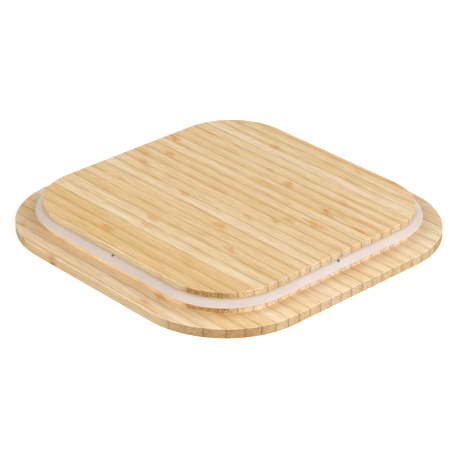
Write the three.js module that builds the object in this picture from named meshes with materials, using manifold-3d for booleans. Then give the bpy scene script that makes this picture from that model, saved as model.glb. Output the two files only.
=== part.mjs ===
// Bamboo lid of a square food container, lying on its cover with the plug and the seal on top.
// Millimetres, +Z up. The origin is the centre of the cover's outer face, which lies on z = 0.
//
// The board is glued up from upright bamboo strips that run along X. It is then cut to a wide cover
// with a smaller plug on it, and a groove is cut round the plug. One silicone ring sits in the groove.
// All outlines are the cover's rounded square, moved inwards by an inset.

import * as THREE from 'three';
import { mergeVertices } from 'three/addons/utils/BufferGeometryUtils.js';
import Module from 'manifold-3d';

// The cover is the wide plate that closes the container.
const COVER_SIDE = 150;
const COVER_CORNER = 39.8;
const COVER_THICKNESS = 4.3;

// The plug goes into the container, and its ledge rests on the container's rim.
const LEDGE_WIDTH = 11.85;
const BOARD_THICKNESS = 13.6;
const FLANGE_THICKNESS = 2.6;

// The groove holds the seal, under the plug's flange.
const GROOVE_HEIGHT = 3;
const GROOVE_DEPTH = 3;

// The seal has a square root in the groove and a lip that slopes out and down from the flange.
const SEAL_GAP = 0.15;
const LIP_REACH = 3.25;
const LIP_EDGE_Z = 8.7;
const LIP_ROOT_THICKNESS = 1.5;
const LIP_EDGE_THICKNESS = 0.75;
const DIMPLE_RADIUS = 1.05;
const DIMPLE_DEPTH = 1;
const DIMPLE_REACH = 0.25;

// The glue joints between strips are one strip pitch apart.
const STRIP_PITCH = 5.84;
const FIRST_JOINT = -73.82;
const STRIP_COUNT = 27;

// The arrises are broken by a small chamfer.
const CHAMFER = 0.25;

const CORNER_STEPS = 20;
const DIMPLE_STEPS = 16;

const COVER_HALF = COVER_SIDE / 2;
const CORNER_CENTRE = COVER_HALF - COVER_CORNER;
const PLUG_HALF = COVER_HALF - LEDGE_WIDTH;
const NECK_INSET = LEDGE_WIDTH + GROOVE_DEPTH;
const NECK_HALF = COVER_HALF - NECK_INSET;
const FLANGE_Z = BOARD_THICKNESS - FLANGE_THICKNESS;
const GROOVE_Z = FLANGE_Z - GROOVE_HEIGHT;

const BAMBOO_TONES = ['#e9cf9f', '#e2c391', '#dcb984'];
const BAMBOO_ROUGHNESS = 0.6;
const SILICONE_COLOUR = '#dcd5d3';
const SILICONE_ROUGHNESS = 0.45;

const wasm = await Module();
wasm.setup();

// One loop round the rounded square, at an inset from the cover's edge and at a height.
function loop(inset, z) {
  const radius = COVER_CORNER - inset;
  const points = [];
  for (let quarter = 0; quarter < 4; quarter += 1) {
    const middle = (quarter + 0.5) * Math.PI / 2;
    const centreX = Math.sign(Math.cos(middle)) * CORNER_CENTRE;
    const centreY = Math.sign(Math.sin(middle)) * CORNER_CENTRE;
    for (let step = 0; step <= CORNER_STEPS; step += 1) {
      const angle = (quarter + step / CORNER_STEPS) * Math.PI / 2;
      points.push([centreX + radius * Math.cos(angle), centreY + radius * Math.sin(angle), z]);
    }
  }
  return points;
}

// A solid swept round the rounded square. The profile is a list of [inset, z] points, with the
// material on its left. An open profile is closed by a flat cap at each end, and a closed one is a ring.
function sweptGeometry(profile, isRing) {
  const loops = profile.map(([inset, z]) => loop(inset, z));
  const count = loops[0].length;
  const positions = loops.flat(2);
  const index = [];
  const bands = isRing ? loops.length : loops.length - 1;
  for (let band = 0; band < bands; band += 1) {
    const low = band * count;
    const high = ((band + 1) % loops.length) * count;
    for (let station = 0; station < count; station += 1) {
      const next = (station + 1) % count;
      index.push(low + station, low + next, high + next);
      index.push(low + station, high + next, high + station);
    }
  }
  if (!isRing) {
    const bottom = positions.length / 3;
    const top = bottom + 1;
    const last = (loops.length - 1) * count;
    positions.push(0, 0, profile[0][1], 0, 0, profile.at(-1)[1]);
    for (let station = 0; station < count; station += 1) {
      const next = (station + 1) % count;
      index.push(bottom, next, station);
      index.push(top, last + station, last + next);
    }
  }
  const geometry = new THREE.BufferGeometry();
  geometry.setAttribute('position', new THREE.Float32BufferAttribute(positions, 3));
  geometry.setIndex(index);
  return geometry;
}

// A solid for joining and cutting, from a closed geometry.
function solidFrom(geometry) {
  geometry.deleteAttribute('normal');
  geometry.deleteAttribute('uv');
  const merged = mergeVertices(geometry);
  return new wasm.Manifold(new wasm.Mesh({
    numProp: 3,
    vertProperties: merged.getAttribute('position').array,
    triVerts: new Uint32Array(merged.getIndex().array),
  }));
}

function geometryFrom(solid) {
  const mesh = solid.getMesh();
  const geometry = new THREE.BufferGeometry();
  geometry.setAttribute('position', new THREE.BufferAttribute(mesh.vertProperties, 3));
  geometry.setIndex(new THREE.BufferAttribute(mesh.triVerts, 1));
  geometry.computeVertexNormals();
  return geometry;
}

// The whole board as it leaves the cutter: cover, ledge, groove and flange.
function boardSolid() {
  const profile = [
    [CHAMFER, 0],
    [0, CHAMFER],
    [0, COVER_THICKNESS - CHAMFER],
    [CHAMFER, COVER_THICKNESS],
    [LEDGE_WIDTH, COVER_THICKNESS],
    [LEDGE_WIDTH, GROOVE_Z],
    [NECK_INSET, GROOVE_Z],
    [NECK_INSET, FLANGE_Z],
    [LEDGE_WIDTH, FLANGE_Z],
    [LEDGE_WIDTH, BOARD_THICKNESS - CHAMFER],
    [LEDGE_WIDTH + CHAMFER, BOARD_THICKNESS],
  ];
  return solidFrom(sweptGeometry(profile, false));
}

// A box between two heights that cuts one strip out of the board.
function stripCutter(lowY, highY, lowZ, highZ) {
  const geometry = new THREE.BoxGeometry(COVER_SIDE * 2, highY - lowY, highZ - lowZ);
  geometry.translate(0, (lowY + highY) / 2, (lowZ + highZ) / 2);
  return solidFrom(geometry);
}

function stripMaterial(number) {
  return new THREE.MeshStandardMaterial({
    color: BAMBOO_TONES[number % BAMBOO_TONES.length],
    roughness: BAMBOO_ROUGHNESS,
    metalness: 0,
  });
}

// One strip of the board. The groove cuts a strip that lies outside the neck right through, and its
// upper part is then a loose sliver of the flange, which is a piece of its own.
function stripMeshes(board, number) {
  const name = `strip_${String(number).padStart(2, '0')}`;
  const outside = COVER_HALF + 1;
  const lowY = number === 1 ? -outside : FIRST_JOINT + (number - 2) * STRIP_PITCH;
  const highY = number === STRIP_COUNT ? outside : FIRST_JOINT + (number - 1) * STRIP_PITCH;
  const nearest = Math.min(Math.abs(lowY), Math.abs(highY));
  const isCutThrough = nearest >= NECK_HALF && nearest < PLUG_HALF;
  const above = BOARD_THICKNESS + 1;
  const splitZ = isCutThrough ? GROOVE_Z + GROOVE_HEIGHT / 2 : above;
  const pieces = [[name, stripCutter(lowY, highY, -1, splitZ)]];
  if (isCutThrough) {
    pieces.push([`${name}_flange`, stripCutter(lowY, highY, splitZ, above)]);
  }
  return pieces.map(([pieceName, cutter]) => {
    const mesh = new THREE.Mesh(geometryFrom(board.intersect(cutter)), stripMaterial(number));
    mesh.name = pieceName;
    return mesh;
  });
}

// The small dimple at the middle of each side of the lip, close under the flange.
function dimpleCutter(quarter) {
  const geometry = new THREE.CylinderGeometry(DIMPLE_RADIUS, DIMPLE_RADIUS, 2 * DIMPLE_DEPTH, DIMPLE_STEPS);
  geometry.rotateX(Math.PI / 2);
  geometry.translate(PLUG_HALF + DIMPLE_REACH, 0, FLANGE_Z);
  geometry.rotateZ(quarter * Math.PI / 2);
  return solidFrom(geometry);
}

function sealMesh() {
  const wall = LEDGE_WIDTH;
  const rootInset = NECK_INSET - SEAL_GAP;
  const rootLowZ = GROOVE_Z + SEAL_GAP;
  const rootHighZ = FLANGE_Z - SEAL_GAP;
  const profile = [
    [rootInset, rootLowZ],
    [wall, rootLowZ],
    [wall, rootHighZ - LIP_ROOT_THICKNESS],
    [wall - LIP_REACH + LIP_EDGE_THICKNESS / 2, LIP_EDGE_Z - LIP_EDGE_THICKNESS],
    [wall - LIP_REACH, LIP_EDGE_Z - LIP_EDGE_THICKNESS / 2],
    [wall - LIP_REACH, LIP_EDGE_Z],
    [wall, rootHighZ],
    [rootInset, rootHighZ],
  ];
  let ring = solidFrom(sweptGeometry(profile, true));
  for (let quarter = 0; quarter < 4; quarter += 1) {
    ring = ring.subtract(dimpleCutter(quarter));
  }
  const mesh = new THREE.Mesh(geometryFrom(ring), new THREE.MeshStandardMaterial({
    color: SILICONE_COLOUR,
    roughness: SILICONE_ROUGHNESS,
    metalness: 0,
  }));
  mesh.name = 'seal';
  return mesh;
}

const lid = new THREE.Group();
const board = boardSolid();
for (let number = 1; number <= STRIP_COUNT; number += 1) {
  lid.add(...stripMeshes(board, number));
}
lid.add(sealMesh());

export default lid;
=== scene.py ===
"""Bamboo lid of a square food container, lying upside down, with the silicone seal round its plug.

The board is drawn strip by strip: each strip is cut from one finely rounded board and carries the
facts of its own piece of bamboo (tone, dense side, knuckles, stain) as mesh attributes, which one
solid bamboo material reads. Lengths are in metres unless a name says mm. The strips run along X, and
+Z is up. The parts are: sizes, mesh tools, node tools, bamboo, seal, floor, light and camera.
"""

import math

import bmesh
import bpy
from mathutils import Matrix, Vector


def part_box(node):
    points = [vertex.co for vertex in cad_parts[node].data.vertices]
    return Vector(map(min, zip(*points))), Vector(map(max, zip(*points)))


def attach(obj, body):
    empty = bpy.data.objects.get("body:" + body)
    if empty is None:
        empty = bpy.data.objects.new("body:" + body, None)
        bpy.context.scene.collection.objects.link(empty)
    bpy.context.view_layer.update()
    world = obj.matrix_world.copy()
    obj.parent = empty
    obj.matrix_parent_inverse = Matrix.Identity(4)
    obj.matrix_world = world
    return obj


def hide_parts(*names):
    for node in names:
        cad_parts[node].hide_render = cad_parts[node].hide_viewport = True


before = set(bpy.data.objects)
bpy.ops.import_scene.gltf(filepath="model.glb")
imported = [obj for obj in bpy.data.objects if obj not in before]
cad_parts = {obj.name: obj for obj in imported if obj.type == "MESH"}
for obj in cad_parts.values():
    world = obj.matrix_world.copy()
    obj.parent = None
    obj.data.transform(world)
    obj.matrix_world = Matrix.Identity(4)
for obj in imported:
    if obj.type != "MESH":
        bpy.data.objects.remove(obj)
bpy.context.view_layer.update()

# ---------------------------------------------------------------- sizes, from the frame where it has them

MM = 0.001
STRIP_COUNT = 27
STRIP_MM = 5.84
middle_strip_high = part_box("strip_14")[1]
COVER_HALF = middle_strip_high.x
BOARD_THICKNESS = middle_strip_high.z
COVER_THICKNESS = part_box("strip_02")[1].z
FLANGE_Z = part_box("strip_03_flange")[0].z
PLUG_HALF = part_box("strip_25_flange")[1].y
SEAL_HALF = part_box("seal")[1].x
LEDGE_WIDTH = COVER_HALF - PLUG_HALF
COVER_CORNER = 39.8 * MM
GROOVE_HEIGHT = 3.0 * MM
GROOVE_DEPTH = 3.0 * MM
GROOVE_Z = FLANGE_Z - GROOVE_HEIGHT
NECK_INSET = LEDGE_WIDTH + GROOVE_DEPTH
CORNER_CENTRE = COVER_HALF - COVER_CORNER

# The same heights in mm, for the materials.
COVER_MM = COVER_THICKNESS / MM
FLANGE_MM = FLANGE_Z / MM
BOARD_MM = BOARD_THICKNESS / MM

ARRIS = 0.25 * MM
GROOVE_ARRIS = 0.12 * MM
LEDGE_FILLET = 0.25 * MM
CORNER_STEPS = 48

SEAL_GAP = 0.03 * MM
LIP_REACH = SEAL_HALF - PLUG_HALF
LIP_EDGE_Z = 8.7 * MM
LIP_ROOT_THICKNESS = 1.5 * MM
LIP_EDGE_THICKNESS = 0.75 * MM
DIMPLE_RADIUS = 0.95 * MM
DIMPLE_DEPTH = 1.1 * MM
DIMPLE_REACH = 0.25 * MM


# ---------------------------------------------------------------- mesh tools

def rounded_profile(corners, steps=4):
    """[inset, z] points from (inset, z, radius) corners, each radius as an arc of a few steps."""
    points = []
    count = len(corners)
    for i, (inset, z, radius) in enumerate(corners):
        here = Vector((inset, z))
        if radius == 0:
            points.append(here)
            continue
        before = (Vector(corners[i - 1][:2]) - here).normalized()
        after = (Vector(corners[(i + 1) % count][:2]) - here).normalized()
        half_angle = before.angle(after) / 2
        tangent = radius / math.tan(half_angle)
        centre = here + (before + after).normalized() * radius / math.sin(half_angle)
        start = here + before * tangent - centre
        end = here + after * tangent - centre
        turn = start.angle(end)
        for step in range(steps + 1):
            part = step / steps
            blend = (start * math.sin((1 - part) * turn) + end * math.sin(part * turn)) / math.sin(turn)
            points.append(centre + blend)
    return points


def swept_bmesh(profile, is_ring):
    """A closed solid swept round the cover's rounded square, from [inset, z] points."""
    bm = bmesh.new()
    loops = []
    for inset, z in profile:
        radius = COVER_CORNER - inset
        loop = []
        for quarter in range(4):
            middle = (quarter + 0.5) * math.pi / 2
            centre_x = math.copysign(CORNER_CENTRE, math.cos(middle))
            centre_y = math.copysign(CORNER_CENTRE, math.sin(middle))
            for step in range(CORNER_STEPS + 1):
                angle = (quarter + step / CORNER_STEPS) * math.pi / 2
                x = centre_x + radius * math.cos(angle)
                y = centre_y + radius * math.sin(angle)
                loop.append(bm.verts.new((x, y, z)))
        loops.append(loop)
    count = len(loops[0])
    bands = len(loops) if is_ring else len(loops) - 1
    for band in range(bands):
        low = loops[band]
        high = loops[(band + 1) % len(loops)]
        for i in range(count):
            j = (i + 1) % count
            bm.faces.new((low[i], low[j], high[j], high[i]))
    if not is_ring:
        bm.faces.new(reversed(loops[0]))
        bm.faces.new(loops[-1])
    bm.normal_update()
    return bm


def cut_away(bm, point, normal):
    """Removes what lies on the normal's side of a plane and closes the cut."""
    geometry = bm.verts[:] + bm.edges[:] + bm.faces[:]
    cut = bmesh.ops.bisect_plane(
        bm, geom=geometry, dist=1e-7, plane_co=point, plane_no=normal, clear_outer=True)
    edges = [e for e in cut["geom_cut"] if isinstance(e, bmesh.types.BMEdge) and e.is_boundary]
    bmesh.ops.edgenet_fill(bm, edges=edges)


def object_from(bm, name, sharp_degrees=30):
    """A smooth-shaded object whose sharp edges stay sharp."""
    bmesh.ops.recalc_face_normals(bm, faces=bm.faces[:])
    for face in bm.faces:
        face.smooth = True
    for edge in bm.edges:
        if edge.is_manifold and edge.calc_face_angle(0) > math.radians(sharp_degrees):
            edge.smooth = False
    mesh = bpy.data.meshes.new(name)
    bm.to_mesh(mesh)
    bm.free()
    piece = bpy.data.objects.new(name, mesh)
    bpy.context.scene.collection.objects.link(piece)
    weighted = piece.modifiers.new("even_normals", "WEIGHTED_NORMAL")
    weighted.keep_sharp = True
    return piece


# ---------------------------------------------------------------- node tools

class Nodes:
    """Short calls for building one material's node tree."""

    def __init__(self, name):
        self.material = bpy.data.materials.new(name)
        self.material.use_nodes = True
        self.tree = self.material.node_tree
        self.shader = self.tree.nodes["Principled BSDF"]

    def new(self, kind, settings=None, **inputs):
        node = self.tree.nodes.new("ShaderNode" + kind)
        for key, value in (settings or {}).items():
            setattr(node, key, value)
        for key, value in inputs.items():
            self.feed(node.inputs[key.replace("_", " ")], value)
        return node

    def feed(self, socket, value):
        if isinstance(value, bpy.types.NodeSocket):
            self.tree.links.new(value, socket)
        else:
            socket.default_value = value

    def math(self, operation, *values, clamp=False):
        node = self.tree.nodes.new("ShaderNodeMath")
        node.operation = operation
        node.use_clamp = clamp
        for socket, value in zip(node.inputs, values):
            self.feed(socket, value)
        return node.outputs[0]

    def ramp(self, value, low, high, out_low=0.0, out_high=1.0):
        """Goes smoothly from out_low to out_high as the value goes from low to high."""
        node = self.new("MapRange", {"interpolation_type": "SMOOTHSTEP"}, Value=value)
        for key, number in (("From Min", low), ("From Max", high), ("To Min", out_low), ("To Max", out_high)):
            self.feed(node.inputs[key], number)
        return node.outputs[0]

    def vector(self, x, y, z):
        return self.new("CombineXYZ", X=x, Y=y, Z=z).outputs[0]

    def split(self, vector):
        return self.new("SeparateXYZ", Vector=vector).outputs

    def scale(self, vector, factor):
        return self.new("VectorMath", {"operation": "SCALE"}, Vector=vector, Scale=factor).outputs[0]

    def attribute(self, name):
        node = self.new("Attribute", {"attribute_name": name, "attribute_type": "GEOMETRY"})
        return node.outputs["Vector"]

    def noise(self, vector, detail=2.0):
        node = self.new("TexNoise", Vector=vector, Scale=1.0, Detail=detail, Roughness=0.5)
        return node.outputs["Fac"]

    def blend(self, factor, first, second, mode="MIX"):
        node = self.new("Mix", {"data_type": "RGBA", "blend_type": mode})
        self.feed(node.inputs[0], factor)
        self.feed(node.inputs[6], first)
        self.feed(node.inputs[7], second)
        return node.outputs[2]


def linear(red, green, blue):
    """A colour given as screen values from 0 to 255, as the linear RGBA that shaders take."""
    return tuple(((v / 255 + 0.055) / 1.055) ** 2.4 for v in (red, green, blue)) + (1.0,)


# ---------------------------------------------------------------- bamboo

# Each strip is (tone, dense, end, knuckles, stain).
# tone goes from 0, pale, to 1, deep honey. Below 0 the inner side of the strip turns cream.
# dense is -1 where the dense outer side of the culm faces -Y, and +1 where it faces +Y.
# end is how brown its end grain is, from 0 to 1.
# A knuckle is (x, across, size): its place along the board and its distance from the strip's -Y face,
# both in mm, and how strong it is. A strip has two at most.
# A stain is (x, half length, across, strength), the first three in mm.
NO_STAIN = (0.0, 1.0, 0.0, 0.0)
STRIPS = {
    1: (0.5, -1, 0.6, [(-24.8, 4.7, 1.0), (-62, 3.0, 0.8)], (-26, 8, 4.5, 0.2)),
    2: (0.3, -1, 0.6, [(28.5, 2.4, 0.8)], (-40, 12, 3.0, 0.5)),
    3: (0.35, -1, 0.7, [(29.5, 3.6, 1.0), (-54, 1.5, 0.6)], (38, 10, 3.5, 0.5)),
    4: (0.85, -1, 0.7, [], (-5, 14, 2.5, 0.4)),
    5: (1.0, -1, 0.6, [(-15, 2.6, 0.9)], (-16, 7, 1.0, 1.0)),
    6: (0.8, -1, 0.5, [(27, 1.8, 0.3)], (-45, 9, 1.0, 0.4)),
    7: (-0.1, 1, 0.4, [(-6, 4.2, 0.7)], (25, 9, 5.0, 0.4)),
    8: (0.2, 1, 0.9, [(-8.5, 4.4, 0.7)], (48, 8, 5.0, 0.5)),
    9: (0.5, -1, 0.6, [(32.5, 3.6, 0.8)], (-35, 9, 0.8, 0.5)),
    10: (0.35, 1, 0.6, [], (40, 12, 5.0, 0.5)),
    11: (0.35, 1, 0.3, [(14.6, 2.6, 0.9)], (12, 7, 2.2, 0.8)),
    12: (-0.15, 1, 0.1, [(-16, 5.0, 1.0)], (-25, 9, 5.0, 0.4)),
    13: (0.2, 1, 0.3, [(17, 4.6, 0.9)], (-48, 6, 5.2, 0.7)),
    14: (0.3, 1, 0.1, [(26, 5.0, 1.0), (-50, 1.0, 0.6)], (48, 8, 1.0, 0.4)),
    15: (0.5, -1, 0.2, [(30, 3.2, 0.7), (-57, 0.6, 1.0)], (-15, 11, 0.3, 1.0)),
    16: (0.5, -1, 0.6, [(39.5, 2.8, 1.1), (-48.5, 2.0, 1.1)], (40, 8, 3.0, 1.0)),
    17: (0.3, -1, 0.3, [(18, 2.5, 0.4)], (-30, 10, 0.8, 0.5)),
    18: (0.5, -1, 0.4, [(36, 2.4, 1.1), (-59, 3.0, 1.5)], (56.5, 8, 0.7, 1.2)),
    19: (0.45, -1, 0.8, [(7.2, 2.4, 1.1)], (54, 10, 1.0, 1.1)),
    20: (0.3, -1, 0.3, [(34, 1.5, 0.6)], (39, 7, 0.7, 0.9)),
    21: (0.3, -1, 0.5, [], (-50, 10, 0.4, 0.9)),
    22: (-0.3, 1, 0.5, [(-22.5, 5.4, 0.8)], NO_STAIN),
    23: (0.2, 1, 0.4, [(-23, 0.8, 0.6)], (23, 8, 0.6, 1.0)),
    24: (0.2, 1, 0.5, [(-52, 1.5, 0.6), (18, 4.0, 0.6)], (0, 12, 5.2, 0.5)),
    25: (0.6, -1, 0.6, [(36, 1.2, 0.7)], (36, 8, 1.5, 0.8)),
    26: (0.5, -1, 0.5, [(-20, 2.0, 0.7)], NO_STAIN),
    27: (0.5, -1, 0.5, [], NO_STAIN),
}
FAR_AWAY = 1000.0

CREAM = linear(239, 217, 187)
PALE = linear(230, 203, 160)
HONEY = linear(221, 185, 125)
GOLD = linear(216, 168, 100)
DENSE = linear(205, 165, 105)
LINE = linear(166, 110, 50)
KNUCKLE = linear(216, 157, 84)
BUNDLE = linear(150, 102, 58)
STAIN = linear(220, 152, 80)

# Colour factors: a painted sheen on a routed surface, painted shade on the open walls, of end grain, of rough
# corners, of the scorch.
ROUTED_SHEEN_GAIN = (1.06, 1.12, 1.27, 1)
COVER_WALL_SHADE_GAIN = (0.58, 0.58, 0.58, 1)
FLANGE_WALL_SHADE_GAIN = (0.67, 0.70, 0.74, 1)
END_GRAIN_GAIN = (1.10, 1.11, 1.13, 1)
CORNER_GAIN = (0.76, 0.66, 0.50, 1)
SCORCH_GAIN = (0.52, 0.34, 0.05, 1)

# The cutter scorched the plug's wall where it ran across the grain at this corner. All are in mm.
SCORCH_X = 50.5
SCORCH_Y = -58.5
SCORCH_REACH = 14.0


def knuckle_fields(n, across, quick):
    """How much each point lies in a knuckle's oval, and on the line that it draws across the strip."""
    oval = 0.0
    band = 0.0
    for name in ("knuckle_a", "knuckle_b"):
        offset, centre, size = n.split(n.attribute(name))
        aside = n.math("ADD", n.math("SUBTRACT", across, centre), n.math("MULTIPLY", quick, 2.4))
        shifted = n.math("MULTIPLY_ADD", quick, 7.0, n.math("MULTIPLY_ADD", aside, 0.7, offset))
        far_along = n.math("POWER", n.math("MULTIPLY", shifted, 0.30), 2.0)
        far_aside = n.math("POWER", n.math("MULTIPLY", aside, 0.55), 2.0)
        away = n.math("SQRT", n.math("ADD", far_along, far_aside))
        oval = n.math("MULTIPLY_ADD", n.ramp(away, 1.5, 0.25), size, oval)
        band = n.math("MULTIPLY_ADD", n.ramp(n.math("ABSOLUTE", shifted), 1.6, 0.2), size, band)
    return oval, band


def bundle_field(n, along, fibre_y, fibre_z, dense, seed):
    """Dots on the end grain, long thin lines on the faces, closer where the strip is dense."""
    cells = n.new("TexVoronoi", {"feature": "F1"}, Scale=1.0, Randomness=0.9, Vector=n.vector(
        n.math("MULTIPLY_ADD", along, 0.012, seed),
        n.math("MULTIPLY", n.math("MULTIPLY_ADD", dense, 0.5, 1.6), fibre_y),
        n.math("MULTIPLY", fibre_z, 1.9)))
    dots = n.ramp(cells.outputs["Distance"], 0.55, 0.2)
    bundle = n.math("MULTIPLY", dots, n.ramp(dense, 0.0, 0.9, 0.55, 1.0))
    clusters = n.noise(n.vector(seed, n.math("MULTIPLY", fibre_y, 0.8), n.math("MULTIPLY", fibre_z, 0.9)))
    return n.math("MULTIPLY", bundle, n.ramp(clusters, 0.35, 0.6, 0.5, 1.2))


def stain_field(n, quick, fine):
    """A golden or reddish stain along the grain, in streaks."""
    stain_x, stain_aside, stain_size = n.split(n.attribute("stain"))
    stain_aside = n.math("MULTIPLY_ADD", quick, 1.5, stain_aside)
    far_x = n.math("POWER", n.math("MULTIPLY_ADD", quick, 0.6, stain_x), 2.0)
    far_y = n.math("POWER", stain_aside, 2.0)
    near = n.ramp(n.math("SQRT", n.math("ADD", far_x, far_y)), 1.3, 0.3)
    streaks = n.ramp(fine, 0.35, -0.3, 0.2, 0.85)
    stain = n.math("MULTIPLY", n.math("MULTIPLY", near, stain_size), streaks)
    return n.math("ADD", stain, 0.0, clamp=True)


def joint_field(n, along, across, quick, seed, end_grain):
    """Glue joints: a thin line on both sides of the strip, whose strength comes and goes along it."""
    low_side = n.ramp(n.math("MULTIPLY_ADD", quick, 0.2, across), 0.42, 0.1)
    high_side = n.ramp(n.math("SUBTRACT", STRIP_MM, across), 0.2, 0.04, 0.0, 0.6)
    joint_noise = n.noise(n.vector(n.math("MULTIPLY", along, 0.08), seed, 0.0), 3)
    strength = n.ramp(joint_noise, 0.34, 0.64, 0.15, 0.85)
    strength = n.math("MAXIMUM", strength, n.math("MULTIPLY", end_grain, 0.6))
    return n.math("MULTIPLY", n.math("ADD", low_side, high_side), strength)


def scorch_field(n, along, world_y, height, upright, bundle):
    """How scorched the wall of the plug is, in the pattern of its bundles."""
    from_x = n.math("POWER", n.math("SUBTRACT", along, SCORCH_X), 2.0)
    from_y = n.math("POWER", n.math("SUBTRACT", world_y, SCORCH_Y), 2.0)
    away = n.math("SQRT", n.math("ADD", from_x, from_y))
    above_ledge = n.ramp(height, COVER_MM - 0.1, COVER_MM + 0.2)
    scorch = n.math("MULTIPLY", n.math("MULTIPLY", upright, above_ledge),
                    n.ramp(away, SCORCH_REACH, SCORCH_REACH * 0.4))
    return n.math("MULTIPLY", scorch, n.ramp(bundle, 0.0, 0.8, 0.65, 1.2), clamp=True)


def bamboo_material():
    """Solid bamboo: fibre bundles run along X, close together on the strip's dense side."""
    n = Nodes("bamboo")
    along, across, height = n.split(n.attribute("grain_mm"))
    tone, dense_way, end_depth = n.split(n.attribute("strip_look"))
    place = n.split(n.attribute("strip_place"))
    seed = place[0]
    world_y = place[1]
    normal_x, normal_y, normal_z = n.split(n.new("NewGeometry").outputs["True Normal"])
    end_grain = n.ramp(n.math("ABSOLUTE", normal_x), 0.35, 0.9)
    open_ends = n.ramp(n.math("ABSOLUTE", normal_x), 0.15, 0.55)
    upright = n.ramp(n.math("ABSOLUTE", normal_z), 0.6, 0.3)
    below_plug_face = n.ramp(height, BOARD_MM - 0.3, BOARD_MM - 0.7)
    above_cover_face = n.ramp(height, 0.3, 0.7)
    routed = n.math("MULTIPLY", below_plug_face, above_cover_face)

    # Dense is 1 at the outer side of the culm and 0 at its inner side.
    part = n.math("SUBTRACT", n.math("DIVIDE", across, STRIP_MM), 0.5)
    dense = n.math("MULTIPLY_ADD", part, dense_way, 0.5)

    # The fibres wander a little along the board, and swerve round the knuckles.
    slow = n.noise(n.vector(n.math("MULTIPLY", along, 0.02), n.math("MULTIPLY", across, 0.3), seed))
    quick = n.noise(n.vector(n.math("MULTIPLY", along, 0.22), n.math("MULTIPLY", across, 0.7),
                             n.math("MULTIPLY_ADD", height, 0.3, seed)), 3)
    slow = n.math("SUBTRACT", slow, 0.5)
    quick = n.math("SUBTRACT", quick, 0.5)
    oval, band = knuckle_fields(n, across, quick)
    swerve = n.math("MULTIPLY", quick, n.math("MULTIPLY_ADD", n.math("ADD", oval, band), 1.3, 0.25))
    wander = n.math("MULTIPLY_ADD", slow, 1.4, swerve)
    fibre_y = n.math("ADD", across, wander)
    fibre_z = n.math("ADD", height, n.math("MULTIPLY_ADD", wander, 0.6, seed))

    def fibres(along_scale, across_scale, shift=0.0):
        """Noise stretched along the grain, from about -1 to 1. The scales are in waves per mm."""
        value = n.noise(n.vector(
            n.math("MULTIPLY_ADD", along, along_scale, n.math("ADD", seed, shift)),
            n.math("MULTIPLY", fibre_y, across_scale),
            n.math("MULTIPLY", fibre_z, across_scale)))
        return n.math("MULTIPLY_ADD", value, 4.0, -2.0)

    broad = fibres(0.01, 0.3)
    gold_patch = fibres(0.035, 0.45, 3.7)
    streak = fibres(0.025, 0.75, 5.1)
    middle = fibres(0.05, 1.3)
    narrow = fibres(0.09, 2.1)
    hair = fibres(0.2, 5.0)
    pore = fibres(0.09, 2.0, 1.3)
    fine = n.math("MULTIPLY_ADD", narrow, 0.65, n.math("MULTIPLY", hair, 0.4))
    figure = n.math("MULTIPLY_ADD", streak, 0.32, n.math("MULTIPLY_ADD", middle, 0.42, fine))
    bundle = bundle_field(n, along, fibre_y, fibre_z, dense, seed)

    # Tone of the strip, darker at its dense side and a little at both its sides.
    depth = n.math("MULTIPLY_ADD", broad, 0.3, tone)
    to_end_depth = n.math("SUBTRACT", end_depth, depth)
    depth = n.math("MULTIPLY_ADD", to_end_depth, n.math("MULTIPLY", end_grain, 0.8), depth)
    colour = n.blend(n.math("ADD", depth, 0.0, clamp=True), PALE, HONEY)
    milky = n.math("MULTIPLY", n.ramp(depth, 0.05, -0.8), n.ramp(dense, 0.95, 0.3, 0.2, 0.7))
    colour = n.blend(milky, colour, CREAM)
    colour = n.blend(n.ramp(dense, 0.45, 1.0, 0.0, 0.3), colour, DENSE)
    colour = n.blend(n.ramp(n.math("ABSOLUTE", part), 0.25, 0.5, 0.0, 0.3), colour, DENSE)

    # Streaks, pores and bundles.
    pale_figure = n.math("MULTIPLY_ADD", depth, -0.4, figure)
    colour = n.blend(n.ramp(pale_figure, -0.15, 0.65, 0.0, 0.7), colour, CREAM)
    colour = n.blend(n.ramp(figure, -0.05, -0.8, 0.0, 0.5), colour, GOLD)
    rich = n.math("MULTIPLY", n.ramp(gold_patch, 0.35, 0.9), n.ramp(fine, 0.4, -0.4, 0.2, 0.7))
    colour = n.blend(rich, colour, GOLD)
    colour = n.blend(n.ramp(pore, 0.42, 0.75, 0.0, 0.32), colour, LINE)
    speck = n.math("MULTIPLY", bundle, n.math("MULTIPLY_ADD", open_ends, 0.7, 0.12), clamp=True)
    colour = n.blend(speck, colour, BUNDLE)

    # Stains, then knuckles: golden ovals with thin brown dashes.
    colour = n.blend(stain_field(n, quick, fine), colour, STAIN)
    patch = n.math("MULTIPLY", oval, n.ramp(fine, 0.3, -0.3, 0.3, 0.9))
    colour = n.blend(n.math("MULTIPLY", patch, 0.8, clamp=True), colour, KNUCKLE)
    dash = n.math("MULTIPLY", n.math("MULTIPLY_ADD", band, 0.4, oval), n.ramp(narrow, 0.1, 0.45))
    colour = n.blend(n.math("MULTIPLY", dash, 0.7, clamp=True), colour, LINE)

    # Glue joints, browner where the wall is cut straight across the grain.
    joint = joint_field(n, along, across, quick, seed, end_grain)
    colour = n.blend(n.math("ADD", joint, 0.0, clamp=True), colour, LINE)
    straight_end = n.ramp(n.math("ABSOLUTE", normal_x), 0.6, 1.0, 0.0, 0.9)
    colour = n.blend(n.math("MULTIPLY", joint, straight_end, clamp=True), colour, BUNDLE)
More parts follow.
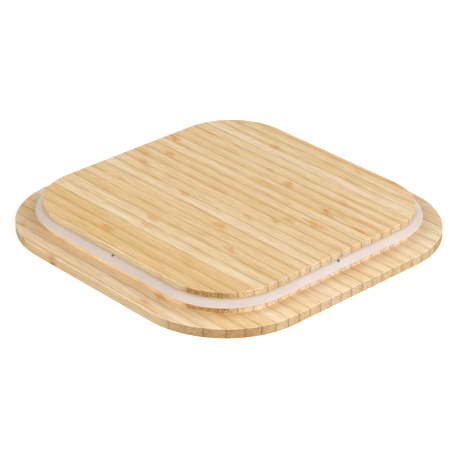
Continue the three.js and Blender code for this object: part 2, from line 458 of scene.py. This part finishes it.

    # Painted light: the routed faces get a painted pale sheen, and the open walls get painted shade, the
    # cover's most of all.
    cover_wall = n.math("MULTIPLY", n.ramp(height, COVER_MM + 0.3, COVER_MM - 0.2), upright)
    flange_wall = n.math("MULTIPLY", n.ramp(height, FLANGE_MM - 1.0, FLANGE_MM), upright)
    away_from_open_walls = n.math("SUBTRACT", 1.0, n.math("MAXIMUM", cover_wall, flange_wall))
    colour = n.blend(n.math("MULTIPLY", routed, away_from_open_walls), colour, ROUTED_SHEEN_GAIN, "MULTIPLY")
    colour = n.blend(cover_wall, colour, COVER_WALL_SHADE_GAIN, "MULTIPLY")
    colour = n.blend(flange_wall, colour, FLANGE_WALL_SHADE_GAIN, "MULTIPLY")
    colour = n.blend(end_grain, colour, END_GRAIN_GAIN, "MULTIPLY")
    scorch = scorch_field(n, along, world_y, height, upright, bundle)
    colour = n.blend(scorch, colour, SCORCH_GAIN, "MULTIPLY")

    # Across the corners the cover's wall shows rough, darker grain.
    slanting = n.math("MULTIPLY", n.math("MULTIPLY", normal_x, normal_y), 2.0)
    rough_cut = n.math("MULTIPLY", n.ramp(n.math("ABSOLUTE", slanting), 0.2, 0.9), cover_wall)
    colour = n.blend(rough_cut, colour, CORNER_GAIN, "MULTIPLY")

    n.feed(n.shader.inputs["Base Color"], colour)
    rough = n.ramp(figure, -1.0, 1.0, 0.44, 0.56)
    n.feed(n.shader.inputs["Roughness"], n.math("MULTIPLY_ADD", end_grain, 0.15, rough))
    n.shader.inputs["Specular IOR Level"].default_value = 0.45

    relief = n.math("MULTIPLY_ADD", pore, -0.1, n.math("MULTIPLY", hair, 0.25))
    relief = n.math("MULTIPLY_ADD", bundle, -0.4, relief)
    relief = n.math("MULTIPLY_ADD", joint, -0.5, relief)
    bump = n.new("Bump", Strength=0.4, Distance=0.05 * MM, Height=relief)
    n.feed(n.shader.inputs["Normal"], bump.outputs["Normal"])
    return n.material


def set_attribute(mesh, name, values):
    attribute = mesh.attributes.new(name, "FLOAT_VECTOR", "POINT")
    attribute.data.foreach_set("vector", [number for value in values for number in value])


def mark_grain(mesh, number, joint_y):
    """Writes the strip's place in its own bamboo, in mm, and the facts of that bamboo."""
    tone, dense, end, knuckles, stain = STRIPS[number]
    seed = number * 7.31
    points = [vertex.co / MM for vertex in mesh.vertices]
    joint_mm = joint_y / MM
    set_attribute(mesh, "grain_mm", [(p.x, p.y - joint_mm, p.z) for p in points])
    set_attribute(mesh, "strip_look", [(tone, dense, end)] * len(points))
    set_attribute(mesh, "strip_place", [(seed, p.y, 0.0) for p in points])
    x, half_length, centre, size = stain
    set_attribute(mesh, "stain", [((p.x - x) / half_length, p.y - joint_mm - centre, size) for p in points])
    padded = (knuckles + [(FAR_AWAY, 0.0, 0.0)] * 2)[:2]
    for name, (x, centre, size) in zip(("knuckle_a", "knuckle_b"), padded):
        set_attribute(mesh, name, [(p.x - x, centre, size) for p in points])


def build_board(material):
    corners = [
        (0, 0, ARRIS),
        (0, COVER_THICKNESS, ARRIS),
        (LEDGE_WIDTH, COVER_THICKNESS, LEDGE_FILLET),
        (LEDGE_WIDTH, GROOVE_Z, GROOVE_ARRIS),
        (NECK_INSET, GROOVE_Z, 0),
        (NECK_INSET, FLANGE_Z, 0),
        (LEDGE_WIDTH, FLANGE_Z, GROOVE_ARRIS),
        (LEDGE_WIDTH, BOARD_THICKNESS, ARRIS),
    ]
    # The profile's two ends lie on the flat faces, farther in than the neck.
    ends_inside = COVER_CORNER / 2
    profile = rounded_profile([(ends_inside, 0, 0)] + corners + [(ends_inside, BOARD_THICKNESS, 0)])
    board = swept_bmesh(profile, False)
    for number in range(1, STRIP_COUNT + 1):
        name = f"strip_{number:02d}"
        low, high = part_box(name)
        joint_y = low.y if number > 1 else high.y - STRIP_MM * MM
        parts = [name, name + "_flange"] if name + "_flange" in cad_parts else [name]
        for part in parts:
            bm = board.copy()
            if number > 1:
                cut_away(bm, (0, low.y, 0), (0, -1, 0))
            if number < STRIP_COUNT:
                cut_away(bm, (0, high.y, 0), (0, 1, 0))
            if len(parts) == 2:
                middle = (0, 0, GROOVE_Z + GROOVE_HEIGHT / 2)
                cut_away(bm, middle, (0, 0, -1) if part.endswith("_flange") else (0, 0, 1))
            piece = object_from(bm, part + "_bamboo")
            mark_grain(piece.data, number, joint_y)
            piece.data.materials.append(material)
            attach(piece, "board")
            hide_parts(part)
    board.free()


# ---------------------------------------------------------------- seal

MILKY = linear(201, 189, 181)
MILKY_DEEP = linear(196, 184, 176)
LIP_EDGE_BOUNCE_TINT = linear(202, 186, 165)
LIP_ROOT_SHADE_TINT = linear(186, 156, 124)
DIMPLE_SHADE_COLOUR = linear(162, 120, 64)


def silicone_material():
    """Milky silicone, with painted shade under the flange and a painted warm bounce from the wood at the
    lip's edge.
    """
    n = Nodes("silicone")
    position = n.new("TexCoord").outputs["Object"]
    cloud = n.noise(n.scale(position, 90.0), 3)
    skin = n.noise(n.scale(position, 4000.0))
    place_x, place_y, place_z = n.split(position)
    height = n.math("DIVIDE", place_z, MM)
    lip_edge_mm = LIP_EDGE_Z / MM
    colour = n.blend(n.ramp(cloud, 0.3, 0.7), MILKY, MILKY_DEEP)
    # Painted warm light, bounced from the wood, on the lip's lower edge and underside.
    colour = n.blend(n.ramp(height, lip_edge_mm + 0.5, lip_edge_mm, 0.0, 0.7), colour, LIP_EDGE_BOUNCE_TINT)

    # How far a point lies outside the plug's wall. The root, inside the groove, stays milky.
    beyond_x = n.math("MAXIMUM", n.math("SUBTRACT", n.math("ABSOLUTE", place_x), CORNER_CENTRE), 0.0)
    beyond_y = n.math("MAXIMUM", n.math("SUBTRACT", n.math("ABSOLUTE", place_y), CORNER_CENTRE), 0.0)
    beyond_squares = n.math("ADD", n.math("POWER", beyond_x, 2.0), n.math("POWER", beyond_y, 2.0))
    from_corner = n.math("SQRT", beyond_squares)
    from_wall = n.math("SUBTRACT", from_corner, COVER_CORNER - LEDGE_WIDTH)
    # Painted shade under the flange, with a painted warm bounce from the wood.
    near_flange = n.ramp(height, FLANGE_MM - 0.9, FLANGE_MM, 0.0, 0.8)
    flange_shade = n.math("MULTIPLY", near_flange, n.ramp(from_wall, -0.3 * MM, 0.0))
    colour = n.blend(flange_shade, colour, LIP_ROOT_SHADE_TINT)

    # Painted shade: the bottom of each hole is coloured dark brown.
    nearer = n.math("MINIMUM", n.math("ABSOLUTE", place_x), n.math("ABSOLUTE", place_y))
    farther = n.math("MAXIMUM", n.math("ABSOLUTE", place_x), n.math("ABSOLUTE", place_y))
    from_axis = n.math("SUBTRACT", farther, PLUG_HALF + DIMPLE_REACH)
    squares = n.math("ADD", n.math("POWER", nearer, 2.0), n.math("POWER", from_axis, 2.0))
    inside = n.ramp(n.math("SQRT", squares), DIMPLE_RADIUS * 1.02, DIMPLE_RADIUS * 0.88)
    inner_side = n.ramp(from_wall, 1.0 * MM, 0.5 * MM)
    low = n.ramp(height, FLANGE_MM - 0.8, FLANGE_MM - 1.0)
    hole_shade = n.math("MULTIPLY", low, inner_side)
    colour = n.blend(n.math("MULTIPLY", inside, hole_shade), colour, DIMPLE_SHADE_COLOUR)

    n.feed(n.shader.inputs["Base Color"], colour)
    n.feed(n.shader.inputs["Roughness"], n.ramp(cloud, 0.3, 0.7, 0.34, 0.44))
    n.shader.inputs["Subsurface Weight"].default_value = 0.6
    n.shader.inputs["Subsurface Radius"].default_value = (1.0, 0.75, 0.6)
    n.shader.inputs["Subsurface Scale"].default_value = 1.2 * MM
    n.shader.inputs["IOR"].default_value = 1.41
    bump = n.new("Bump", Strength=0.15, Distance=0.02 * MM, Height=skin)
    n.feed(n.shader.inputs["Normal"], bump.outputs["Normal"])
    return n.material


def cut_dimples(piece):
    """Makes the small hole at the middle of each side of the lip, close under the flange."""
    bm = bmesh.new()
    for quarter in range(4):
        angle = quarter * math.pi / 2
        centre = Vector((PLUG_HALF + DIMPLE_REACH, 0, FLANGE_Z))
        place = Matrix.Rotation(angle, 4, "Z") @ Matrix.Translation(centre)
        bmesh.ops.create_cone(
            bm, cap_ends=True, segments=32, radius1=DIMPLE_RADIUS * 0.8, radius2=DIMPLE_RADIUS,
            depth=2 * DIMPLE_DEPTH, matrix=place)
    mesh = bpy.data.meshes.new("dimple_cutter")
    bm.to_mesh(mesh)
    bm.free()
    cutter = bpy.data.objects.new("dimple_cutter", mesh)
    bpy.context.scene.collection.objects.link(cutter)
    cut = piece.modifiers.new("dimples", "BOOLEAN")
    cut.operation = "DIFFERENCE"
    cut.solver = "EXACT"
    cut.object = cutter
    shaped = bpy.data.meshes.new_from_object(piece.evaluated_get(bpy.context.evaluated_depsgraph_get()))
    piece.modifiers.clear()
    piece.data = shaped
    bpy.data.objects.remove(cutter)


def build_seal(material):
    wall = LEDGE_WIDTH
    lip_edge = LEDGE_WIDTH - LIP_REACH
    root_inset = NECK_INSET - SEAL_GAP
    root_low = GROOVE_Z + SEAL_GAP
    root_high = FLANGE_Z - SEAL_GAP
    corners = [
        (root_inset, root_low, 0.2 * MM),
        (wall, root_low, 0.2 * MM),
        (wall, root_high - LIP_ROOT_THICKNESS, 0.5 * MM),
        (lip_edge + 0.35 * MM, LIP_EDGE_Z - LIP_EDGE_THICKNESS, 0.2 * MM),
        (lip_edge, LIP_EDGE_Z - 0.3 * MM, 0.15 * MM),
        (lip_edge, LIP_EDGE_Z, 0.12 * MM),
        (wall, root_high, 0.2 * MM),
        (root_inset, root_high, 0.2 * MM),
    ]
    ring = swept_bmesh(rounded_profile(corners), True)
    piece = object_from(ring, "seal_ring")
    cut_dimples(piece)
    piece.data.materials.clear()
    piece.data.materials.append(material)
    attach(piece, "seal_ring")
    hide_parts("seal")


# ---------------------------------------------------------------- floor, light and camera

CAMERA_AZIMUTH = math.radians(46.51)
CAMERA_ELEVATION = math.radians(28.31)
CAMERA_ROLL = math.radians(0.591)
CAMERA_DISTANCE = 0.87008

ROOM_LIGHT = 0.32
LIGHT_DISTANCE = 1.3
LIGHT_SIZE = 1.0
WHITE = (1, 1, 1)
COOL = (0.97, 0.995, 1.05)

# Each light is (name, azimuth, elevation, watts, colour), with the angles in degrees.
SOFT_LIGHTS = [
    ("left_window", -15, 40, 6.5, WHITE),
    ("left_low", -6, 18, 7.0, WHITE),
    ("front", 46, 35, 2.8, WHITE),
    ("right_low", 100, 18, 11.8, COOL),
    ("right_back", 150, 35, 7.5, COOL),
]


def build_floor():
    """One large triangle: the lid's face lies in its plane, where an inner edge could show."""
    mesh = bpy.data.meshes.new("floor")
    mesh.from_pydata([(-7, -4, 0), (7, -4, 0), (0, 8, 0)], [], [(0, 1, 2)])
    floor = bpy.data.objects.new("floor", mesh)
    bpy.context.scene.collection.objects.link(floor)
    n = Nodes("floor_paper")
    n.shader.inputs["Base Color"].default_value = (0.93, 0.93, 0.93, 1)
    n.shader.inputs["Roughness"].default_value = 0.9
    n.shader.inputs["Specular IOR Level"].default_value = 0.1
    n.shader.inputs["Emission Color"].default_value = (1, 1, 1, 1)
    n.shader.inputs["Emission Strength"].default_value = 0.3
    mesh.materials.append(n.material)


def toward(azimuth, elevation):
    """A unit vector from the lid. Azimuth 0 is -Y, and 90 degrees is +X."""
    return Vector((
        math.sin(azimuth) * math.cos(elevation),
        -math.cos(azimuth) * math.cos(elevation),
        math.sin(elevation)))


def soft_light(name, azimuth, elevation, watts, colour):
    data = bpy.data.lights.new(name, "AREA")
    data.color = colour
    data.shape = "SQUARE"
    data.size = LIGHT_SIZE
    data.energy = watts
    light = bpy.data.objects.new(name, data)
    way = toward(math.radians(azimuth), math.radians(elevation))
    light.location = way * LIGHT_DISTANCE
    light.rotation_euler = way.to_track_quat("Z", "Y").to_euler()
    bpy.context.scene.collection.objects.link(light)


def build_light():
    """A room that lights the lid evenly and looks white to the camera, and large soft lights."""
    world = bpy.data.worlds.new("studio")
    world.use_nodes = True
    tree = world.node_tree
    room = tree.nodes["Background"]
    room.inputs["Color"].default_value = (1.0, 1.0, 1.0, 1)
    room.inputs["Strength"].default_value = ROOM_LIGHT
    seen = tree.nodes.new("ShaderNodeBackground")
    seen.inputs["Color"].default_value = (1.0, 1.0, 1.0, 1)
    path = tree.nodes.new("ShaderNodeLightPath")
    either = tree.nodes.new("ShaderNodeMixShader")
    tree.links.new(path.outputs["Is Camera Ray"], either.inputs[0])
    tree.links.new(room.outputs[0], either.inputs[1])
    tree.links.new(seen.outputs[0], either.inputs[2])
    tree.links.new(either.outputs[0], tree.nodes["World Output"].inputs["Surface"])
    bpy.context.scene.world = world
    for light in SOFT_LIGHTS:
        soft_light(*light)


def build_camera():
    data = bpy.data.cameras.new("camera")
    camera = bpy.data.objects.new("camera", data)
    bpy.context.scene.collection.objects.link(camera)
    way = toward(CAMERA_AZIMUTH, CAMERA_ELEVATION)
    camera.location = way * CAMERA_DISTANCE
    look = way.to_track_quat("Z", "Y").to_matrix().to_4x4()
    roll = look.Rotation(CAMERA_ROLL, 4, "Z")
    camera.rotation_euler = (look @ roll).to_euler()
    data.sensor_width = 36
    data.lens = 162.62
    data.shift_x = 0.00067
    data.shift_y = -0.00248
    data.clip_start = 0.01
    bpy.context.scene.camera = camera


build_board(bamboo_material())
build_seal(silicone_material())
build_floor()
build_light()
build_camera()
bpy.context.scene.view_settings.view_transform = "Standard"
